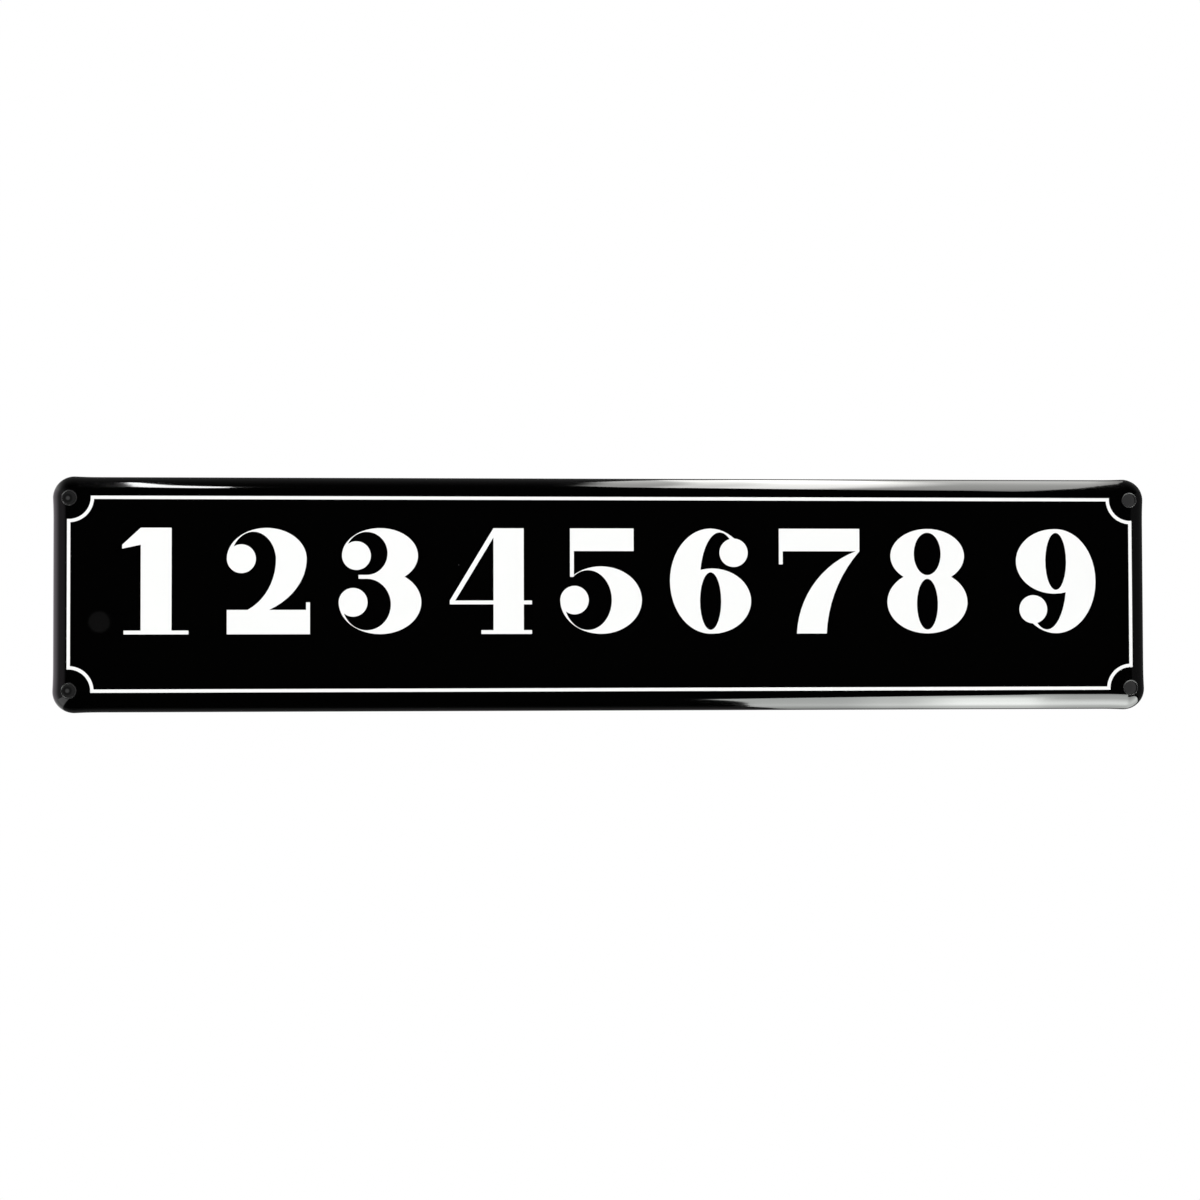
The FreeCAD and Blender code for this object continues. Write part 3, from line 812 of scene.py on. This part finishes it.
def white_enamel(colours):
    """The white that the frame line and the numerals share."""
    name = "glossy white enamel"
    if name in bpy.data.materials:
        return bpy.data.materials[name]
    return enamel_material(
        name, colours.white, colours.dust, colours.white_gloss, FINE_RIPPLE, WHITE_SPECKS
    )


def aim_camera(settings):
    """The camera at the photo's angle, looking at the middle of the fixing holes."""
    flat = math.cos(settings.elevation)
    back = Vector((
        math.sin(settings.azimuth) * flat, -math.cos(settings.azimuth) * flat, math.sin(settings.elevation)
    ))
    start_fresh()
    bpy.ops.object.camera_add()
    camera = bpy.context.object
    turned = back.to_track_quat("Z", "Y").to_matrix() @ Matrix.Rotation(settings.roll, 3, "Z")
    camera.matrix_world = Matrix.Translation(back * settings.distance) @ turned.to_4x4()
    camera.data.sensor_width = 36.0
    camera.data.lens = settings.lens
    camera.data.shift_x = settings.shift_x
    camera.data.shift_y = settings.shift_y
    bpy.context.scene.camera = camera


def light_room(settings):
    """Even white light. What the camera and the enamel see of the room itself is white."""
    world = bpy.data.worlds.new("studio")
    bpy.context.scene.world = world
    world.use_nodes = True
    tree = world.node_tree
    seen = tree.nodes["Background"]
    seen.inputs["Color"].default_value = (1, 1, 1, 1)
    lit = add_node(tree, "ShaderNodeBackground", (0, -150))
    lit.inputs["Color"].default_value = (1, 1, 1, 1)
    lit.inputs["Strength"].default_value = settings.room_light
    rays = add_node(tree, "ShaderNodeLightPath", (-600, 200)).outputs
    either = work_out(tree, (-350, 200), "MAXIMUM", rays["Is Camera Ray"], rays["Is Glossy Ray"])
    any_seen = work_out(tree, (-150, 200), "MAXIMUM", either, rays["Is Transmission Ray"])
    mix = add_node(tree, "ShaderNodeMixShader", (250, 0))
    join = tree.links.new
    join(any_seen, mix.inputs["Fac"])
    join(lit.outputs["Background"], mix.inputs[1])
    join(seen.outputs["Background"], mix.inputs[2])
    join(mix.outputs["Shader"], tree.nodes["World Output"].inputs["Surface"])


def new_glow(name, colour):
    """A material that only sends out light, with the emission node whose strength is still to be set."""
    material = bpy.data.materials.new(name)
    material.use_nodes = True
    tree = material.node_tree
    tree.nodes.remove(tree.nodes["Principled BSDF"])
    glow = add_node(tree, "ShaderNodeEmission", (100, 0))
    glow.inputs["Color"].default_value = (*colour, 1)
    tree.links.new(glow.outputs["Emission"], tree.nodes["Material Output"].inputs["Surface"])
    return material, glow


def glowing(name, colour, strength):
    """A sheet's material with the same light all over."""
    material, glow = new_glow(name, colour)
    glow.inputs["Strength"].default_value = strength
    return material


# In metres: the camera's distance from the plate, how far left of the middle it stands, and
# the square of a bright card's height over the rim that mirrors it.
EYE_DISTANCE = 1.0
EYE_ASIDE = 0.0805
RIM_TO_CARD_SQUARED = 0.92


def place_in_rim(tree, x, y):
    """How far along a rim, counted from the camera's place, a point of a level card is mirrored."""
    square = work_out(tree, (-1700, -300), "MULTIPLY_ADD", y, y, RIM_TO_CARD_SQUARED)
    card_distance = work_out(tree, (-1700, -500), "SQRT", square)
    whole_path = work_out(tree, (-1700, -700), "ADD", card_distance, EYE_DISTANCE)
    aside = work_out(tree, (-1700, -900), "ADD", x, EYE_ASIDE)
    return work_out(tree, (-1700, -1100), "DIVIDE", aside, whole_path)


def graded_glow(name, colour, *lobes):
    """A sheet's light as the sum of lobes, each the product of its fades.

    A fade is (axis, start, end, low, high). Its axis is the sheet's X or Y, or U, which is the
    place in the rim that mirrors the point.
    """
    material, glow = new_glow(name, colour)
    tree = material.node_tree
    place = add_node(tree, "ShaderNodeTexCoord", (-2100, 0))
    parts = add_node(tree, "ShaderNodeSeparateXYZ", (-1900, 0))
    tree.links.new(place.outputs["Object"], parts.inputs["Vector"])
    along = {"X": parts.outputs["X"], "Y": parts.outputs["Y"]}
    along["U"] = place_in_rim(tree, along["X"], along["Y"])
    total = None
    for row, fades in enumerate(lobes):
        height = 300 - 500 * row
        lobe = None
        for column, (axis, start, end, low, high) in enumerate(fades):
            across = 220 * column - 1450
            step = fade(tree, (across, height), along[axis], start, end, low, high)
            lobe = combine(tree, (across + 50, height - 250), "MULTIPLY", lobe, step)
        total = combine(tree, (-100, height), "ADD", total, lobe)
    tree.links.new(total, glow.inputs["Strength"])
    return material


def only_in_reflections(sheet):
    """Hides a sheet from all but glossy rays."""
    sheet.visible_camera = False
    sheet.visible_diffuse = False
    sheet.visible_transmission = False
    sheet.visible_shadow = False
    sheet.visible_volume_scatter = False


def hang_sheet(name, corners, material):
    """A flat studio sheet through its corners, seen only in the gloss of the enamel."""
    start_fresh()
    bpy.ops.mesh.primitive_circle_add(vertices=len(corners), radius=1, fill_type="NGON")
    sheet = bpy.context.object
    sheet.name = name
    for point, corner in zip(sheet.data.vertices, corners):
        point.co = corner
    sheet.data.materials.append(material)
    only_in_reflections(sheet)


TUNNEL_FRONT = -5.0
TUNNEL_BACK = 8.0
TUNNEL_SIDE = 2.2
VELVET_LIGHT = 0.002
RIGHT_WALL_LIGHT = 0.1
WHITE = (1.0, 1.0, 1.0)
LEFT_WALL_COLOUR = (1.0, 0.93, 1.0)
WALL_LIGHT = (("Y", -0.75, 0.50, 0.30, 1.05), ("Y", -5.0, -1.8, 0.1, 1.0), ("Y", 0.6, 2.0, 1.0, 0.8))
CEILING_LIGHT = (
    (("Y", -0.8, 0.7, VELVET_LIGHT, 0.14),),
    (*WALL_LIGHT, ("X", -2.2, -0.7, 1.0, 0.0)),
)
GROUND_LIGHT = (
    (("Y", -0.1, 0.7, VELVET_LIGHT, 0.12),),
    (("X", -1.06, -0.93, 1.5, 0.0), ("Y", -3.5, -1.5, 0.0, 1.0), ("Y", -0.2, 0.5, 1.0, 0.5)),
)


def hang_dark_cloths(settings):
    """A dark tunnel round the sign, so that the black enamel stays black, with a lighter left wall."""
    top = settings.card_height + settings.cloth_gap
    front, back, side = TUNNEL_FRONT, TUNNEL_BACK, TUNNEL_SIDE
    hang_sheet(
        "front_cloth", [(-side, front, -top), (side, front, -top), (side, front, top), (-side, front, top)],
        glowing("black velvet", WHITE, VELVET_LIGHT),
    )
    levels = (
        ("top_cloth", top, graded_glow("ceiling cloth", WHITE, *CEILING_LIGHT)),
        ("bottom_cloth", -top, graded_glow("floor cloth", WHITE, *GROUND_LIGHT)),
    )
    for name, z, material in levels:
        hang_sheet(name, [(-side, front, z), (side, front, z), (side, back, z), (-side, back, z)], material)
    walls = (
        ("left_cloth", -side, graded_glow("left wall", LEFT_WALL_COLOUR, WALL_LIGHT)),
        ("right_cloth", side, glowing("right wall", WHITE, RIGHT_WALL_LIGHT)),
    )
    for name, x, material in walls:
        hang_sheet(name, [(x, front, -top), (x, back, -top), (x, back, top), (x, front, top)], material)


# Outlines of the bright cards, seen from above, in metres from the middle of the sign.
TOP_CARD = (
    (0.055, -0.45), (0.11, -0.72), (0.20, -0.88), (0.33, -1.15), (0.50, -1.38), (0.61, -1.75),
    (0.595, -1.58), (0.545, -1.28), (0.505, -0.96), (0.463, -0.56), (0.446, -0.32), (0.442, -0.15),
    (0.444, 0.0), (0.453, 0.15), (0.476, 0.34), (0.53, 0.62), (0.60, 0.90), (0.75, 1.50),
    (0.45, 1.20), (0.22, 1.0), (0.15, 0.82), (0.105, 0.50), (0.075, 0.22), (0.052, 0.0),
)
SLIT_CARD = (
    (-0.262, -0.11), (-0.270, -0.45), (-0.279, -0.68), (-0.290, -0.90), (-0.286, -1.05),
    (-0.262, -1.18), (-0.244, -1.21), (-0.224, -1.16), (-0.208, -0.86), (-0.2265, -0.79),
    (-0.246, -0.60), (-0.250, -0.33), (-0.255, -0.18),
)
LOW_CARD = (
    (0.214, -1.185), (1.05, -3.70), (1.55, -5.60), (2.05, -5.40), (1.2, -2.9), (0.90, -1.80),
    (1.12, -1.60), (1.45, -1.50), (1.72, -1.15), (1.80, -0.50), (1.70, 0.15), (1.62, 0.90),
    (1.60, 1.30), (0.31, 1.30), (0.24, 0.80), (0.205, 0.45), (0.181, 0.20), (0.178, -0.13),
    (0.187, -0.40), (0.20, -0.70),
)
TOP_CARD_COLOUR = (1.0, 1.0, 0.97)
LOW_CARD_COLOUR = (0.97, 1.0, 0.97)
SLIT_CARD_LIGHT = 24.0
TOP_CARD_ENDS = (("Y", 0.0, 1.5, 1.0, 0.0), ("Y", -2.6, -0.6, 0.0, 1.0))
TOP_CARD_LIGHT = (
    (("X", 0.055, 0.085, 0.0, 6.8), ("U", 0.258, 0.273, 1.0, 0.4), *TOP_CARD_ENDS),
    (("X", 0.12, 0.15, 0.0, 7.6), ("X", 0.255, 0.34, 1.0, 0.0), *TOP_CARD_ENDS),
    (("X", 0.17, 0.21, 0.0, 4.9), ("X", 0.255, 0.34, 1.0, 0.0), *TOP_CARD_ENDS),
)
LOW_CARD_LIGHT = (
    (("U", 0.165, 0.185, 9.0, 11.7), ("U", 0.235, 0.255, 1.0, 0.77), ("U", 0.275, 0.42, 1.0, 0.72),
     ("Y", -6.0, -0.6, 0.62, 1.0), ("Y", -0.15, 0.6, 1.0, 0.35), ("Y", 0.45, 1.3, 1.0, 0.1)),
    (("U", 0.188, 0.215, 0.0, 7.8), ("U", 0.235, 0.247, 1.0, 0.0),
     ("Y", -0.3, 0.35, 1.0, 0.15), ("Y", -2.2, -0.8, 0.0, 1.0)),
    (("U", 0.235, 0.25, 0.0, 5.5), ("U", 0.275, 0.42, 1.0, 0.62),
     ("Y", -0.3, 0.35, 1.0, 0.15), ("Y", -1.2, -0.2, 0.0, 1.0)),
    (("U", 0.28, 0.40, 0.0, 1.8), ("Y", -0.3, 0.3, 0.0, 1.0), ("Y", 0.6, 1.3, 1.0, 0.4)),
)


def hang_bright_cards(settings):
    """Bright cards above and below, which the rolled rim mirrors as light bands."""
    above = settings.card_height
    cards = (
        ("top_card", TOP_CARD, above, graded_glow("top card", TOP_CARD_COLOUR, *TOP_CARD_LIGHT)),
        ("slit_card", SLIT_CARD, above, glowing("slit card", WHITE, SLIT_CARD_LIGHT)),
        ("low_card", LOW_CARD, -above, graded_glow("low card", LOW_CARD_COLOUR, *LOW_CARD_LIGHT)),
    )
    for name, outline, z, material in cards:
        hang_sheet(name, [(x, y, z) for x, y in outline], material)


# Soft steps of the painted light and shade behind a hole: start, end, light inside and light outside.
LEFT_HOLE_SHADE = ((0.4 * MM, 1.0 * MM, 0.045, 0.007), (1.2 * MM, 2.0 * MM, 0.0, 0.009))
RIGHT_HOLE_SHADE = ((1.4 * MM, 2.2 * MM, 0.030, 0.034),)
SHADE_SIDES = 48
SHADE_REACH = 1.5
SHADE_GAP = 0.5 * MM
SHADE_ASIDE = 0.6 * MM


def shade_behind(name, centre, steps):
    """A glowing disc that paints the shaded wall behind one fixing hole, its light in soft steps from its
    middle. It is clear from behind.
    """
    material, glow = new_glow(name, WHITE)
    tree = material.node_tree
    place = add_node(tree, "ShaderNodeTexCoord", (-900, 0))
    aside = add_node(tree, "ShaderNodeVectorMath", (-700, 0), operation="DISTANCE")
    aside.inputs[1].default_value = centre
    tree.links.new(place.outputs["Object"], aside.inputs[0])
    level = None
    for row, step in enumerate(steps):
        height = -250 * row
        ring = fade(tree, (-450, height), aside.outputs["Value"], *step)
        level = combine(tree, (-150, height), "ADD", level, ring)
    tree.links.new(level, glow.inputs["Strength"])
    clear = add_node(tree, "ShaderNodeBsdfTransparent", (100, -150))
    side = add_node(tree, "ShaderNodeNewGeometry", (-200, 300))
    mix = add_node(tree, "ShaderNodeMixShader", (300, 0))
    tree.links.new(side.outputs["Backfacing"], mix.inputs["Fac"])
    tree.links.new(glow.outputs["Emission"], mix.inputs[1])
    tree.links.new(clear.outputs["BSDF"], mix.inputs[2])
    tree.links.new(mix.outputs["Shader"], tree.nodes["Material Output"].inputs["Surface"])
    return material


def shade_holes(sizes):
    """Small glowing discs close behind the holes, which paint the shaded wall seen through them, with a lit
    spot behind the left holes.
    """
    level = sizes.wall + SHADE_GAP
    for number, centre in enumerate(hole_centres(sizes)):
        start_fresh()
        bpy.ops.mesh.primitive_circle_add(
            vertices=SHADE_SIDES, radius=SHADE_REACH * sizes.hole_radius, fill_type="NGON",
            location=(centre.x, level, centre.z), rotation=(math.pi / 2, 0, 0),
        )
        disc = bpy.context.object
        disc.name = f"hole_shade_{number}"
        bpy.ops.object.transform_apply(location=True, rotation=True, scale=True)
        steps = RIGHT_HOLE_SHADE if centre.x > 0 else LEFT_HOLE_SHADE
        middle = Vector((centre.x - SHADE_ASIDE, level, centre.z))
        disc.data.materials.append(shade_behind(f"shaded wall {number}", middle, steps))
        only_in_reflections(disc)
        disc.visible_camera = True


FLOOR_SIDES = 96
FLOOR_ROUGHNESS = 0.7
LAMP_PLACE = (-0.8, -1.8, 1.6)


def lay_floor(settings):
    """A plain pale floor, well below the sign."""
    start_fresh()
    bpy.ops.mesh.primitive_circle_add(
        vertices=FLOOR_SIDES, radius=settings.floor_radius, fill_type="NGON",
        location=(0, 0, settings.floor_level),
    )
    floor = bpy.context.object
    floor.name = "studio_floor"
    material = bpy.data.materials.new("pale floor")
    material.use_nodes = True
    shader = material.node_tree.nodes["Principled BSDF"]
    shader.inputs["Base Color"].default_value = (*settings.floor_colour, 1)
    shader.inputs["Roughness"].default_value = FLOOR_ROUGHNESS
    floor.data.materials.append(material)


def hang_soft_light(settings):
    """One large soft lamp high in front, for a gentle fall of light over the relief."""
    start_fresh()
    bpy.ops.object.light_add(type="AREA", location=LAMP_PLACE)
    lamp = bpy.context.object
    lamp.name = "soft_lamp"
    lamp.data.shape = "DISK"
    lamp.data.size = settings.lamp_size
    lamp.data.energy = settings.lamp_power
    lamp.rotation_euler = (Vector((0, 0, 0)) - lamp.location).to_track_quat("-Z", "Y").to_euler()
    lamp.visible_glossy = False


class SIGN_OT_set_studio(Operator):
    """Set up the camera, the floor, the cloths, the cards and the light"""

    bl_idname = "street_sign.set_studio"
    bl_label = "Set Studio"
    bl_options = {"REGISTER", "UNDO"}

    def execute(self, context):
        settings = context.scene.sign_studio
        context.scene.view_settings.view_transform = "Standard"
        aim_camera(settings)
        light_room(settings)
        lay_floor(settings)
        shade_holes(context.scene.sign_plate)
        hang_dark_cloths(settings)
        hang_bright_cards(settings)
        hang_soft_light(settings)
        return {"FINISHED"}


class SIGN_PT_panel(Panel):
    """Lists the steps of the sign in the sidebar"""

    bl_idname = "SIGN_PT_panel"
    bl_label = "Street Name Sign"
    bl_space_type = "VIEW_3D"
    bl_region_type = "UI"
    bl_category = "Street Sign"

    def draw(self, context):
        column = self.layout.column()
        for step in STEPS:
            column.operator(step.bl_idname)


GROUPS = {
    "sign_plate": PressedPlateSizes,
    "sign_line": FrameLineSizes,
    "sign_numerals": NumeralSizes,
    "sign_enamel": EnamelColours,
    "sign_studio": StudioSettings,
}
STEPS = (SIGN_OT_set_studio, SIGN_OT_press_plate, SIGN_OT_lay_frame_line, SIGN_OT_raise_numerals)
CLASSES = (*GROUPS.values(), *STEPS, SIGN_PT_panel)


def register():
    for item in CLASSES:
        bpy.utils.register_class(item)
    for name, group in GROUPS.items():
        setattr(bpy.types.Scene, name, PointerProperty(type=group))


def unregister():
    for name in GROUPS:
        delattr(bpy.types.Scene, name)
    for item in reversed(CLASSES):
        bpy.utils.unregister_class(item)


def main():
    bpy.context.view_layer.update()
    register()
    bpy.ops.street_sign.set_studio()
    bpy.ops.street_sign.press_plate()
    bpy.ops.street_sign.lay_frame_line()
    bpy.ops.street_sign.raise_numerals()


if __name__ == "__main__":
    main()
